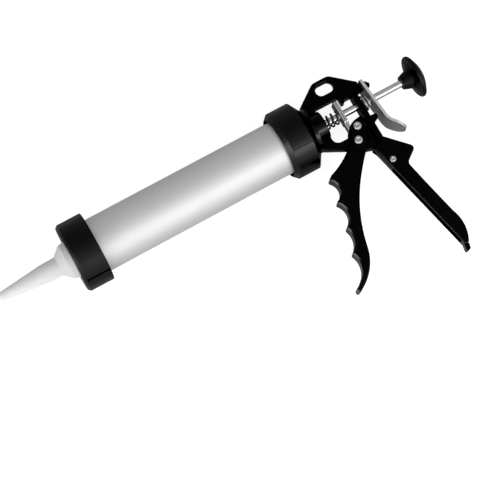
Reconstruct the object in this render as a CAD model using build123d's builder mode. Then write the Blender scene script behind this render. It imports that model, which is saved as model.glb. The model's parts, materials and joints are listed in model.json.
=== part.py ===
"""Caulking gun for foil sausages: an aluminium barrel between two screw caps, a cast frame with a
pistol handle, and a trigger that pushes a round rod through grip plates.

Frame: millimetres. The origin is the centre of the nozzle's outlet. +X runs back along the barrel
to the pull knob, +Y points from the handle to the hanging slot, and +Z points out of the side that
faces up as the gun lies on its two caps.
"""

import os
from math import cos, pi, radians, sin, sqrt, tan

from build123d import *

# Running and fitting gaps
RUN_GAP = 0.06          # a pin or rod that turns or slides in its hole, on the radius
FIT_GAP = 0.05          # a fixed pin or bush in its hole, on the radius
FREE_GAP = 0.3          # moving pieces that pass each other
LOOSE_GAP = 0.6         # grip plates and lever round the rod, on the radius

# Barrel and piston
BARREL_OD = 53.0
BARREL_WALL = 1.5
BARREL_LENGTH = 239.5
PISTON_GAP = 0.8        # piston rim to barrel wall, on the radius
PISTON_LENGTH = 14.0
PISTON_SETBACK = 31.0   # piston face behind the barrel's front end, as the gun lies
PISTON_EDGE = 1.5
SEAL_WIDTH = 4.0
SEAL_DEPTH = 3.0
SEAL_GAP = 0.3
BACKING_RADIUS = 22.5
BACKING_THICKNESS = 2.5

# Push rod, its nut and its knob
ROD_RADIUS = 3.5
STUD_RADIUS = 2.5
STUD_TAIL = 1.0         # stud that stands out of the nut
NUT_FLATS = 8.0
NUT_THICKNESS = 5.0
NUT_POCKET_RADIUS = 8.0
KNOB_FRONT = 32.8       # knob neck behind the lever's rear face, as the gun lies
KNOB_NECK_RADIUS = 6.6
KNOB_NECK_LENGTH = 8.5
KNOB_THROAT_RADIUS = 9.6
KNOB_RIM_RADIUS = 21.3
KNOB_RIM_SETBACK = 14.4
KNOB_DOME_HEIGHT = 8.0
KNOB_RIM_ROUND = 2.2
KNOB_UNDERCUT = 0.8
KNOB_SOCKET = 12.0

# Nozzle, its gasket and the front cap
NOZZLE_REACH = 89.0     # outlet to the front cap's face
NOZZLE_TIP_RADIUS = 2.9
OUTLET_RADIUS = 1.9
OUTLET_LENGTH = 8.0
SPOUT_RADIUS = 9.1
COLLAR_LENGTH = 15.5
COLLAR_RADIUS = 9.5
CONE_LENGTH = 7.8
BASE_LENGTH = 5.9
BASE_FRONT_RADIUS = 17.0
BASE_RADIUS = 18.2
NOZZLE_WALL = 1.6
NOZZLE_FLANGE = 2.5
GASKET_THICKNESS = 1.5
GASKET_WIDTH = 4.0
CAP_WALL = 7.9          # screw caps outside the barrel, on the radius
FRONT_CAP_LENGTH = 26.7
FRONT_CAP_WALL = 4.0
FRONT_CAP_CHAMFER = 2.4
FRONT_CAP_LIP = 0.6
NUT_EDGE = 0.8
GRIP_GROOVES = 3
GROOVE_WIDTH = 1.6
GROOVE_DEPTH = 0.9
FRONT_GROOVE_TURN = 147.8   # degrees round the barrel from +Y towards +Z
REAR_GROOVE_TURN = 116.0

# Rear cap and the parts that clamp it to the frame
REAR_CAP_LENGTH = 32.5
REAR_CAP_WALL = 4.5
REAR_CAP_MOUTH_RELIEF = 2.6
REAR_CAP_MOUTH_LIP = 0.9
REAR_CAP_MOUTH_DEPTH = 6.0
REAR_CAP_BEVEL_LENGTH = 6.6
REAR_CAP_LEDGE = 1.2    # rear cap outside the flange, on the radius
SEAT_THICKNESS = 1.5
SPIGOT_RADIUS = 11.0
SPIGOT_TAIL = 1.5
LOCK_NUT_FLATS = 36.0
LOCK_NUT_THICKNESS = 7.0
BUSH_WALL = 2.4
BUSH_FLANGE_RADIUS = 9.0
BUSH_FLANGE = 2.0

# Cast frame, measured from the hub's front face
FLANGE_RADIUS = 23.0
FLANGE_THICKNESS = 4.0
BOSS_RADIUS = 14.0
BOSS_LENGTH = 12.5
WEB_THICKNESS = 9.0
WEB_ROOT = 2.0                  # web sunk in the flange
ARM_FOOT = 24.2
ARM_FRONT = 26.0
ARM_REAR = 43.2
ARM_TOP = 39.9
ARM_ROUND = 9.0
SHOULDER_RISE = 4.3             # arm's end above the lever's hinge
SHOULDER_DROP = 4.2
BRACE_FOOT = 10.1
POST_FRONT = 52.5
POST_THICKNESS = 6.2
POST_WIDTH = 14.0
SLOT_LENGTH = 18.3
SLOT_HEIGHT = 11.4
SLOT_PLACE = (34.3, 30.1)
WINDOW_FRONT = 15.4
WINDOW_TOP = 16.1
WINDOW_STEP = (41.0, 11.0)
WINDOW_FLOOR = -23.7
WINDOW_SILL = -19.0
WINDOW_ROUND = 6.5
FULCRUM_DROP = 2.6              # lug above the grip plates
FULCRUM_WIDTH = 2.8
FULCRUM_FOOT = 4.0
LUG_RADIUS = 8.5
LOWER_ARM_FOOT = -23.2
ELBOW = (23.5, -33.5)
CHIN = (31.2, -37.2)
CROTCH = ((45.8, -45.0), (43.6, -43.5), (39.0, -42.2))
TANG_INSET = 3.6                # tang in front of the post's rear face
TANG_NECK = 2.5                 # tang's throat below the handle's top edge
TANG_REAR = (65.5, -58.5)
TANG_END = ((61.0, -70.0), (51.6, -70.0))
TONGUE_WIDTH = 6.0
TONGUE_ROOT = 4.0
TONGUE_DEPTH = 6.2
TONGUE_HOOK = ((69.3, 19.4), (72.4, 18.0), (75.2, 14.6), (74.2, 11.8))
STOP_TOP = (65.2, -14.8)
STOP_TIP = (65.3, -18.8)
STOP_RISE = 0.6
STOP_FOOT = 3.6
EDGE_ROUND = 1.0

# Handle shell, measured from the hub's front face
HANDLE_WIDTH = 14.0
HANDLE_WALL = 2.3
HANDLE_ROUND = 1.4
HANDLE_FRONT = ((47.1, -50.4), (44.6, -44.6))
HANDLE_BACK = ((59.2, -38.4), (81.0, -61.2), (66.6, -72.0), (71.6, -95.9), (79.8, -132.3))
HANDLE_HEEL = (82.4, -149.0)
HANDLE_END = (74.1, -170.0)
HUMP_ROUND = 4.0
CROOK_ROUND = 5.0
HANDLE_TIP = 2.6
CHANNEL_FRONT = 40.0
CHANNEL_TOP = -36.0
CHANNEL_NECK = -42.0
CHANNEL_END = ((67.5, -161.0), (76.0, -161.0))
TOE = ((72.6, -164.0), (77.2, -166.4), (75.8, -171.6), (71.2, -172.8))
TOE_ROUND = 1.6
HANDLE_RIVET_PLACE = (55.5, -62.4)
HANDLE_RIVET_RADIUS = 2.5
HANDLE_RIVET_HEAD = 3.2
RIVET_RIM = 0.2                 # straight rim of a rivet's head
RIVET_DISH_WIDTH = 0.48         # of the head's radius
RIVET_DISH_DEPTH = 0.19         # of the head's radius

# Trigger, its pins and its roller
PIVOT_PLACE = (36.2, -30.6)
PIVOT_RADIUS = 3.0
DRIVE_PIN_ARM = (6.1, 12.6)     # from the pivot
DRIVE_PIN_RADIUS = 2.5
ROLLER_RADIUS = 4.3
TRIGGER_WIDTH = 16.0
TRIGGER_FORK_RADIUS = 17.0
TRIGGER_ROUND = 1.8
TRIGGER_BEVEL = 1.4
TRIGGER_NECK = ((-12.2, -1.8), (-24.2, -10.5), (-39.0, -17.1))
GRIP_TIPS = ((-44.5, -20.6), (-49.7, -42.6), (-53.1, -68.1), (-60.4, -92.0))
GRIP_HOLLOWS = ((-39.2, -31.0), (-44.1, -55.5), (-51.7, -79.6))
GRIP_HEEL = ((-58.6, -105.3), (-65.5, -117.2))
TRIGGER_TAIL = ((-74.3, -123.2), (-73.6, -127.8))
TRIGGER_BACK = ((-58.9, -118.4), (-44.4, -93.0), (-17.7, -34.8), (0.6, -13.2))
HIP_LENGTH = 12.8
CHEEK_REAR = (15.0, 12.0)
HEAD_CORNER = (15.0, 20.4)
HEAD_TOP = (7.0, 19.2)
HEAD_FRONT = ((-0.4, 15.4), (-5.8, 5.0))
PIN_HEAD_RADIUS = 4.15
PIN_HEAD_HEIGHT = 2.0

# Grip plates and springs
PLATE_THICKNESS = 2.0
PLATE_GAP = 0.2
PLATE_WIDTH = 14.0
PLATE_CORNER = 2.0
PLATE_TOP = 13.8
PLATE_SHOULDER = -10.0
PLATE_FOOT = -21.0
TONGUE_SIDE_GAP = 0.5
DRIVE_WIRE = 1.8
DRIVE_COIL_RADIUS = 5.5
DRIVE_TURNS = 3.0
DRIVE_HAND = -1                 # wound left-handed
RELEASE_WIRE = 2.0
RELEASE_COIL_RADIUS = 6.7
RELEASE_TURNS = 1.5
RELEASE_HAND = 1
SPRING_END_GAP = 0.2
SAMPLES_PER_TURN = 24           # for measuring a spring's gap to itself

# Release lever
LEVER_HINGE = (66.7, 17.0)      # from the hub's front face
LEVER_TILT = 5.2                # degrees that its foot leans back as the gun lies
LEVER_THICKNESS = 2.7
LEVER_WIDTH = 27.0
LEVER_CORNER = 3.0
LEVER_TAB_ROUND = 12.5
LEVER_TOP = 2.6                 # above the hinge
LEVER_SLOT_HEIGHT = 6.4
LEVER_LENGTH = 38.5             # hinge to the bend
LEVER_BEND_RADIUS = 16.0
LEVER_TAB_LENGTH = 13.5
LEVER_TAB_TURN = 36.5

# Stations along the barrel, front to back
CAP_FACE = NOZZLE_REACH
BARREL_FRONT = CAP_FACE + FRONT_CAP_WALL + NOZZLE_FLANGE + GASKET_THICKNESS
BARREL_REAR = BARREL_FRONT + BARREL_LENGTH
REAR_WALL = BARREL_REAR + SEAT_THICKNESS
HUB_FACE = REAR_WALL + REAR_CAP_WALL
FLANGE_REAR = HUB_FACE + FLANGE_THICKNESS
BOSS_REAR = FLANGE_REAR + BOSS_LENGTH
REAR_CAP_MOUTH = HUB_FACE - REAR_CAP_LENGTH
LOCK_NUT_FRONT = REAR_WALL - LOCK_NUT_THICKNESS
SPIGOT_FRONT = LOCK_NUT_FRONT - SPIGOT_TAIL

# Sizes that follow from others
BARREL_RADIUS = BARREL_OD / 2
BORE_RADIUS = BARREL_RADIUS - BARREL_WALL
CAP_RADIUS = BARREL_RADIUS + CAP_WALL
BUSH_RADIUS = ROD_RADIUS + RUN_GAP + BUSH_WALL
WEB_HALF = WEB_THICKNESS / 2
FORK_HALF = WEB_HALF + FREE_GAP
POST_REAR = POST_FRONT + POST_THICKNESS


def from_hub(x, y):
    """A point of the frame, given from the hub's front face and the rod's axis."""
    return (HUB_FACE + x, y)


def handle_top(x):
    """The height of the handle's top edge, at a distance behind the hub's front face."""
    front, rear = HANDLE_FRONT[-1], HANDLE_BACK[0]
    return front[1] + (rear[1] - front[1]) * (x - front[0]) / (rear[0] - front[0])


PIVOT = from_hub(*PIVOT_PLACE)
DRIVE_PIN = (PIVOT[0] + DRIVE_PIN_ARM[0], PIVOT[1] + DRIVE_PIN_ARM[1])
HANDLE_RIVET = from_hub(*HANDLE_RIVET_PLACE)
HINGE = from_hub(*LEVER_HINGE)
PLATES_REAR = DRIVE_PIN[0] - ROLLER_RADIUS - FREE_GAP
PLATES_FRONT = PLATES_REAR - 2 * PLATE_THICKNESS - PLATE_GAP


def from_pivot(x, y):
    """A point of the trigger, given from its pivot."""
    return (PIVOT[0] + x, PIVOT[1] + y)


def from_hinge(along, across):
    """A point of the release lever, down its blade from the hinge and back through its thickness."""
    lean = radians(LEVER_TILT)
    x = HINGE[0] + along * sin(lean) + across * cos(lean)
    y = HINGE[1] - along * cos(lean) + across * sin(lean)
    return (x, y)


def lever_face(y, across):
    """Where the lever's face crosses a height, as a distance along the barrel."""
    lean = radians(LEVER_TILT)
    return HINGE[0] + (HINGE[1] - y) * tan(lean) + across / cos(lean)


LEVER_FRONT = lever_face(0, -LEVER_THICKNESS / 2)
LEVER_REAR = lever_face(0, LEVER_THICKNESS / 2)
KNOB_FACE = LEVER_REAR + KNOB_FRONT
PISTON_FACE = BARREL_FRONT + PISTON_SETBACK
PISTON_REAR = PISTON_FACE + PISTON_LENGTH
ROD_FRONT = PISTON_REAR + BACKING_THICKNESS
NUT_SEAT = PISTON_FACE + STUD_TAIL + NUT_THICKNESS + STUD_TAIL
ROD_REAR = KNOB_FACE + KNOB_SOCKET


def turned(points):
    """A solid turned about the barrel's axis from its half section."""
    with BuildPart() as piece:
        with BuildSketch(Plane.XY):
            with BuildLine():
                Polyline(*points, close=True)
            make_face()
        revolve(axis=Axis.X)
    return piece


def washer(front, thickness, outer, inner):
    """A flat ring on the barrel's axis."""
    with BuildPart() as piece:
        with BuildSketch(Plane.YZ.offset(front)):
            Circle(outer)
            Circle(inner, mode=Mode.SUBTRACT)
        extrude(amount=thickness)
    return piece


def hex_nut(front, thickness, flats, hole, edge):
    """A chamfered hexagon nut on the barrel's axis."""
    with BuildPart() as piece:
        with BuildSketch(Plane.YZ.offset(front)):
            RegularPolygon(flats / 2, 6, major_radius=False)
            Circle(hole, mode=Mode.SUBTRACT)
        extrude(amount=thickness)
        rims = piece.edges().filter_by(GeomType.LINE).filter_by(Axis.X, reverse=True)
        chamfer(rims, edge)
    return piece


def rivet(place, radius, grip, head_radius, head_height):
    """A rivet across the gun's thickness, with a rounded head at each end, dished in its middle."""
    half = grip / 2
    shoulder = half + RIVET_RIM
    top = half + head_height
    brim = head_radius * RIVET_DISH_WIDTH
    hollow = top - head_radius * RIVET_DISH_DEPTH
    with BuildPart() as piece:
        with BuildSketch(Plane.XZ):
            with BuildLine():
                Polyline((0, 0), (radius, 0), (radius, half), (head_radius, half), (head_radius, shoulder))
                TangentArc((brim, top), (head_radius, shoulder), tangent=(1, 0))
                TangentArc((0, hollow), (brim, top), tangent=(1, 0))
                Line((0, hollow), (0, 0))
            make_face()
        revolve(axis=Axis.Z)
        mirror(about=Plane.XY)
    piece.part = Pos(place[0], place[1], 0) * piece.part
    return piece


def coil(front, rear, radius, wire, turns, hand):
    """A round-wire compression spring along the rod, its path made of arcs, two to each quarter turn."""
    start = front + wire / 2 + SPRING_END_GAP
    end = rear - wire / 2 - SPRING_END_GAP
    pitch = (end - start) / turns
    steps = round(turns * 4)
    rise = pitch / (2 * pi)

    def point(angle):
        return Vector(start + rise * angle, radius * cos(angle), hand * radius * sin(angle))

    def heading(angle):
        return Vector(rise, -radius * sin(angle), hand * radius * cos(angle)).normalized()

    with BuildPart() as piece:
        with BuildLine() as path:
            for step in range(steps):
                a0 = step * pi / 2
                a1 = a0 + pi / 2
                p0, p1, t0, t1 = point(a0), point(a1), heading(a0), heading(a1)
                chord = p1 - p0
                spread = 2 * (1 - t0.dot(t1))
                along = chord.dot(t0 + t1)
                reach = (sqrt(along * along + 2 * spread * chord.dot(chord)) - along) / spread
                middle = (p0 + p1 + (t0 - t1) * reach) * 0.5
                turn = (p1 - t1 * reach) - (p0 + t0 * reach)
                TangentArc(p0, middle, tangent=t0)
                TangentArc(middle, p1, tangent=turn.normalized())
        with BuildSketch(Plane(point(0), z_dir=heading(0))):
            Circle(wire / 2)
        sweep(path=path.line)
    samples = round(turns * SAMPLES_PER_TURN)
    stations = [point(2 * pi * sample / SAMPLES_PER_TURN) for sample in range(samples)]
    gap = min(
        (near - far).length
        for place, near in enumerate(stations)
        for far in stations[place + SAMPLES_PER_TURN // 2:]
    ) - wire
    print(f"spring of {turns} turns: least gap to itself {gap:.2f} mm")
    return piece


def keep(piece, name):
    """Label a finished piece and write it to its own file."""
    piece.part.label = name
    export_step(piece.part, f"parts/{name}.step")


os.makedirs("parts", exist_ok=True)

# Nozzle: a hollow spout on a wide base, with the flange that the front cap clamps
cone_front = CAP_FACE - BASE_LENGTH - CONE_LENGTH
spout_front = cone_front - COLLAR_LENGTH
flange_front = CAP_FACE + FRONT_CAP_WALL
flange_rear = flange_front + NOZZLE_FLANGE
flange_radius = BARREL_RADIUS - FREE_GAP
nozzle = turned([
    (0, OUTLET_RADIUS),
    (0, NOZZLE_TIP_RADIUS),
    (spout_front, SPOUT_RADIUS),
    (cone_front, COLLAR_RADIUS),
    (CAP_FACE - BASE_LENGTH, BASE_FRONT_RADIUS),
    (CAP_FACE, BASE_RADIUS),
    (flange_front, BASE_RADIUS),
    (flange_front, flange_radius),
    (flange_rear, flange_radius),
    (flange_rear, BASE_RADIUS - NOZZLE_WALL),
    (CAP_FACE - BASE_LENGTH, BASE_FRONT_RADIUS - NOZZLE_WALL),
    (cone_front, COLLAR_RADIUS - NOZZLE_WALL),
    (spout_front, SPOUT_RADIUS - NOZZLE_WALL),
    (OUTLET_LENGTH, OUTLET_RADIUS),
])
keep(nozzle, "nozzle")

# Gasket between the nozzle's flange and the barrel's front end
gasket = washer(flange_rear, GASKET_THICKNESS, flange_radius, flange_radius - GASKET_WIDTH)
keep(gasket, "nozzle_gasket")


def grip_grooves(front, length, turn):
    """The shallow grip grooves along a cap, as solids to cut away."""
    with BuildPart() as cutter:
        with BuildSketch(Plane.YZ.offset(front)):
            with PolarLocations(CAP_RADIUS, GRIP_GROOVES, start_angle=turn):
                Rectangle(2 * GROOVE_DEPTH, GROOVE_WIDTH)
        extrude(amount=length)
    return cutter.part


# Front cap: screws on the barrel's front end and holds the nozzle
front_cap_rear = CAP_FACE + FRONT_CAP_LENGTH
cap_bore = BARREL_RADIUS + FREE_GAP
front_groove_length = FRONT_CAP_LENGTH - FRONT_CAP_CHAMFER
front_grooves = grip_grooves(CAP_FACE + FRONT_CAP_CHAMFER, front_groove_length, FRONT_GROOVE_TURN)
with BuildPart() as front_cap:
    with BuildSketch(Plane.XY):
        with BuildLine():
            Polyline(
                (CAP_FACE, BASE_RADIUS + FREE_GAP),
                (CAP_FACE, CAP_RADIUS - FRONT_CAP_CHAMFER),
                (CAP_FACE + FRONT_CAP_CHAMFER, CAP_RADIUS),
                (front_cap_rear - FRONT_CAP_LIP, CAP_RADIUS),
                (front_cap_rear, CAP_RADIUS - FRONT_CAP_LIP),
                (front_cap_rear, cap_bore),
                (flange_front, cap_bore),
                (flange_front, BASE_RADIUS + FREE_GAP),
                close=True,
            )
        make_face()
    revolve(axis=Axis.X)
    add(front_grooves, mode=Mode.SUBTRACT)
keep(front_cap, "front_cap")

# Barrel: an aluminium tube, its end threads left plain
barrel = washer(BARREL_FRONT, BARREL_LENGTH, BARREL_RADIUS, BORE_RADIUS)
keep(barrel, "barrel_tube")

# Seat ring between the barrel's rear end and the rear cap's wall
seat = washer(BARREL_REAR, SEAT_THICKNESS, BARREL_RADIUS, BARREL_RADIUS - GASKET_WIDTH)
keep(seat, "barrel_seat_ring")

# Rear cap: screws on the barrel's rear end, clamped to the frame's flange
mouth_radius = BARREL_RADIUS + REAR_CAP_MOUTH_RELIEF
thread_radius = BARREL_RADIUS + FIT_GAP
mouth_chamfer = CAP_RADIUS - mouth_radius - REAR_CAP_MOUTH_LIP
groove_front = REAR_CAP_MOUTH + mouth_chamfer + GROOVE_DEPTH
rear_grooves = grip_grooves(groove_front, HUB_FACE - groove_front, REAR_GROOVE_TURN)
with BuildPart() as rear_cap:
    with BuildSketch(Plane.XY):
        with BuildLine():
            Polyline(
                (REAR_CAP_MOUTH, mouth_radius),
                (REAR_CAP_MOUTH, CAP_RADIUS - mouth_chamfer),
                (REAR_CAP_MOUTH + mouth_chamfer, CAP_RADIUS),
                (HUB_FACE - REAR_CAP_BEVEL_LENGTH, CAP_RADIUS),
                (HUB_FACE, FLANGE_RADIUS + REAR_CAP_LEDGE),
                (HUB_FACE, SPIGOT_RADIUS + FIT_GAP),
                (REAR_WALL, SPIGOT_RADIUS + FIT_GAP),
                (REAR_WALL, thread_radius),
                (REAR_CAP_MOUTH + REAR_CAP_MOUTH_DEPTH, thread_radius),
                (REAR_CAP_MOUTH + REAR_CAP_MOUTH_DEPTH, mouth_radius),
                close=True,
            )
        make_face()
    revolve(axis=Axis.X)
    add(rear_grooves, mode=Mode.SUBTRACT)
keep(rear_cap, "rear_cap")

# Lock nut inside the rear cap, on the frame's spigot
lock_nut = hex_nut(LOCK_NUT_FRONT, LOCK_NUT_THICKNESS, LOCK_NUT_FLATS, SPIGOT_RADIUS + FIT_GAP, NUT_EDGE)
keep(lock_nut, "hub_lock_nut")

# Guide bush for the rod, pressed in the hub from the front
rod_bush = turned([
    (SPIGOT_FRONT - BUSH_FLANGE, ROD_RADIUS + RUN_GAP),
    (SPIGOT_FRONT - BUSH_FLANGE, BUSH_FLANGE_RADIUS),
    (SPIGOT_FRONT, BUSH_FLANGE_RADIUS),
    (SPIGOT_FRONT, BUSH_RADIUS),
    (BOSS_REAR, BUSH_RADIUS),
    (BOSS_REAR, ROD_RADIUS + RUN_GAP),
])
keep(rod_bush, "rod_guide_bush")

# Frame: hub, upper arm with the hanging slot, rear post, lower arm and the tang inside the handle
notch_radius = LEVER_THICKNESS / 2 + FREE_GAP
shoulder_front = LEVER_HINGE[0] - notch_radius
tang_front = POST_REAR - TANG_INSET
with BuildPart() as frame:
    with BuildSketch(Plane.XY) as web_outline:
        with BuildLine():
            Polyline(
                from_hub(FLANGE_THICKNESS / 2, FLANGE_RADIUS - WEB_ROOT),
                from_hub(FLANGE_THICKNESS, ARM_FOOT),
                from_hub(ARM_FRONT, ARM_TOP),
                from_hub(ARM_REAR, ARM_TOP),
                from_hub(shoulder_front, LEVER_HINGE[1] + SHOULDER_RISE),
                from_hub(shoulder_front, LEVER_HINGE[1] - SHOULDER_DROP),
                from_hub(POST_REAR, BRACE_FOOT),
                from_hub(POST_REAR, handle_top(POST_REAR) + FIT_GAP),
                from_hub(tang_front, handle_top(tang_front) + FIT_GAP),
                from_hub(tang_front, handle_top(tang_front) - TANG_NECK),
                from_hub(*TANG_REAR),
                *[from_hub(*point) for point in TANG_END],
                *[from_hub(*point) for point in CROTCH],
                from_hub(*CHIN),
                from_hub(*ELBOW),
                from_hub(FLANGE_THICKNESS, LOWER_ARM_FOOT),
                from_hub(FLANGE_THICKNESS / 2, WEB_ROOT - FLANGE_RADIUS),
                close=True,
            )
        make_face()
        fillet(web_outline.vertices().group_by(Axis.Y)[-1], ARM_ROUND)
        with Locations(from_hub(*SLOT_PLACE)):
            SlotOverall(SLOT_LENGTH, SLOT_HEIGHT, mode=Mode.SUBTRACT)
    extrude(amount=WEB_HALF, both=True)
    chamfer(frame.faces().filter_by(Axis.Z).edges(), EDGE_ROUND)
    with BuildSketch(Plane.XY) as window:
        with BuildLine():
            Polyline(
                from_hub(WINDOW_FRONT, WINDOW_TOP),
                from_hub(WINDOW_STEP[0], WINDOW_TOP),
                from_hub(WINDOW_STEP[0], WINDOW_STEP[1] - FULCRUM_DROP),
                from_hub(WINDOW_STEP[0] + FULCRUM_WIDTH, WINDOW_STEP[1] - FULCRUM_DROP),
                from_hub(WINDOW_STEP[0] + FULCRUM_FOOT, WINDOW_STEP[1]),
                from_hub(POST_FRONT, WINDOW_STEP[1]),
                from_hub(POST_FRONT, WINDOW_SILL),
                from_hub(PIVOT_PLACE[0] + LUG_RADIUS, PIVOT_PLACE[1] + LUG_RADIUS),
                from_hub(PIVOT_PLACE[0] - LUG_RADIUS, WINDOW_FLOOR),
                from_hub(WINDOW_FRONT, WINDOW_FLOOR),
                close=True,
            )
        make_face()
        corner = Vector(*from_hub(WINDOW_FRONT, WINDOW_FLOOR))
        fillet(window.vertices().sort_by_distance(corner)[0], WINDOW_ROUND)
    extrude(amount=WEB_HALF, both=True, mode=Mode.SUBTRACT)
    with BuildSketch(Plane.XY):
        with Locations(PIVOT):
            Circle(LUG_RADIUS)
    extrude(amount=WEB_HALF, both=True)
    # Rear post, wider than the web
    with BuildSketch(Plane.XY):
        with BuildLine():
            Polyline(
                from_hub(POST_FRONT, WINDOW_STEP[1]),
                from_hub(POST_REAR, WINDOW_STEP[1]),
                from_hub(POST_REAR, handle_top(POST_REAR) + FIT_GAP),
                from_hub(POST_FRONT, handle_top(POST_FRONT) + FIT_GAP),
                close=True,
            )
        make_face()
    extrude(amount=POST_WIDTH / 2, both=True)
    # Stop behind the post, for the release lever
    with BuildSketch(Plane.XY):
        with BuildLine():
            Polyline(
                from_hub(POST_REAR, STOP_TOP[1] + STOP_RISE),
                from_hub(*STOP_TOP),
                from_hub(*STOP_TIP),
                from_hub(POST_REAR, STOP_TIP[1] - STOP_FOOT),
                close=True,
            )
        make_face()
    extrude(amount=WEB_HALF, both=True)
    # Tongue that the release lever hooks over
    with BuildSketch(Plane.XY):
        with BuildLine():
            Polyline(
                from_hub(shoulder_front - TONGUE_ROOT, LEVER_HINGE[1] + SHOULDER_RISE),
                from_hub(shoulder_front, LEVER_HINGE[1] + SHOULDER_RISE),
                *[from_hub(*point) for point in TONGUE_HOOK],
                from_hub(LEVER_HINGE[0] + notch_radius, LEVER_HINGE[1] - TONGUE_DEPTH),
                from_hub(shoulder_front - TONGUE_ROOT, LEVER_HINGE[1] - TONGUE_DEPTH),
                close=True,
            )
        make_face()
        with BuildLine():
            notch = Polyline(
                from_hub(LEVER_HINGE[0] - notch_radius, LEVER_HINGE[1] + 2 * SHOULDER_RISE),
                from_hub(LEVER_HINGE[0] - notch_radius, LEVER_HINGE[1]),
            )
            ThreePointArc(
                notch @ 1,
                from_hub(LEVER_HINGE[0], LEVER_HINGE[1] - notch_radius),
                from_hub(LEVER_HINGE[0] + notch_radius, LEVER_HINGE[1]),
            )
            Polyline(
                from_hub(LEVER_HINGE[0] + notch_radius, LEVER_HINGE[1]),
                from_hub(LEVER_HINGE[0] + notch_radius, LEVER_HINGE[1] + 2 * SHOULDER_RISE),
                notch @ 0,
            )
        make_face(mode=Mode.SUBTRACT)
    extrude(amount=TONGUE_WIDTH / 2, both=True)
    # Hub: flange, boss and spigot, bored for the guide bush
    with BuildSketch(Plane.YZ.offset(HUB_FACE)):
        Circle(FLANGE_RADIUS)
    extrude(amount=FLANGE_THICKNESS)
    with BuildSketch(Plane.YZ.offset(FLANGE_REAR)):
        Circle(BOSS_RADIUS)
    extrude(amount=BOSS_LENGTH)
    with BuildSketch(Plane.YZ.offset(SPIGOT_FRONT)):
        Circle(SPIGOT_RADIUS)
    extrude(amount=HUB_FACE - SPIGOT_FRONT)
    with BuildSketch(Plane.YZ.offset(SPIGOT_FRONT)):
        Circle(BUSH_RADIUS + FIT_GAP)
    extrude(amount=BOSS_REAR - SPIGOT_FRONT, mode=Mode.SUBTRACT)
    with BuildSketch(Plane.YZ.offset(HUB_FACE + POST_FRONT)):
        Circle(ROD_RADIUS + LOOSE_GAP)
    extrude(amount=POST_THICKNESS, mode=Mode.SUBTRACT)
    with BuildSketch(Plane.XY):
        with Locations(PIVOT):
            Circle(PIVOT_RADIUS + FIT_GAP)
        with Locations(HANDLE_RIVET):
            Circle(HANDLE_RIVET_RADIUS + FIT_GAP)
    extrude(amount=POST_WIDTH, both=True, mode=Mode.SUBTRACT)
keep(frame, "frame_casting")

# Handle: a channel round the frame's tang, open towards the trigger
channel_half = HANDLE_WIDTH / 2 - HANDLE_WALL
with BuildPart() as handle:
    with BuildSketch(Plane.XY) as handle_outline:
        with BuildLine():
            Polyline(*[from_hub(*point) for point in (HANDLE_END, *HANDLE_FRONT, *HANDLE_BACK)])
            ThreePointArc(from_hub(*HANDLE_BACK[-1]), from_hub(*HANDLE_HEEL), from_hub(*HANDLE_END))
        make_face()
        for place, radius in (
            (HANDLE_BACK[1], HUMP_ROUND),
            (HANDLE_BACK[2], CROOK_ROUND),
            (HANDLE_END, HANDLE_TIP),
        ):
            corner = Vector(*from_hub(*place))
            fillet(handle_outline.vertices().sort_by_distance(corner)[0], radius)
    extrude(amount=HANDLE_WIDTH / 2, both=True)
    fillet(handle.faces().filter_by(Axis.Z).edges(), HANDLE_ROUND)
    with BuildSketch(Plane.XY):
        offset(handle_outline.sketch, amount=-HANDLE_WALL, mode=Mode.ADD)
        with BuildLine():
            Polyline(
                *[from_hub(*point) for point in CHANNEL_END],
                from_hub(tang_front + FREE_GAP, CHANNEL_NECK),
                from_hub(tang_front + FREE_GAP, CHANNEL_TOP),
                from_hub(CHANNEL_FRONT, CHANNEL_TOP),
                from_hub(CHANNEL_FRONT, HANDLE_FRONT[0][1]),
                close=True,
            )
        make_face()
    extrude(amount=channel_half, both=True, mode=Mode.SUBTRACT)
    with BuildSketch(Plane.XY) as toe:
        with BuildLine():
            Polyline(*[from_hub(*point) for point in TOE], close=True)
        make_face()
        fillet(toe.vertices().sort_by(Axis.Y)[:2], TOE_ROUND)
    extrude(amount=channel_half, both=True)
    with BuildSketch(Plane.XY):
        with Locations(HANDLE_RIVET):
            Circle(HANDLE_RIVET_RADIUS + FIT_GAP)
    extrude(amount=HANDLE_WIDTH, both=True, mode=Mode.SUBTRACT)
keep(handle, "handle_shell")

# Rivet that ties the handle to the frame's tang
handle_rivet = rivet(HANDLE_RIVET, HANDLE_RIVET_RADIUS, HANDLE_WIDTH, HANDLE_RIVET_HEAD, PIN_HEAD_HEIGHT)
keep(handle_rivet, "handle_rivet")

# Rivet that the trigger turns on
pivot_rivet = rivet(PIVOT, PIVOT_RADIUS, TRIGGER_WIDTH + 2 * FREE_GAP, PIN_HEAD_RADIUS, PIN_HEAD_HEIGHT)
keep(pivot_rivet, "trigger_pivot_rivet")

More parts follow.
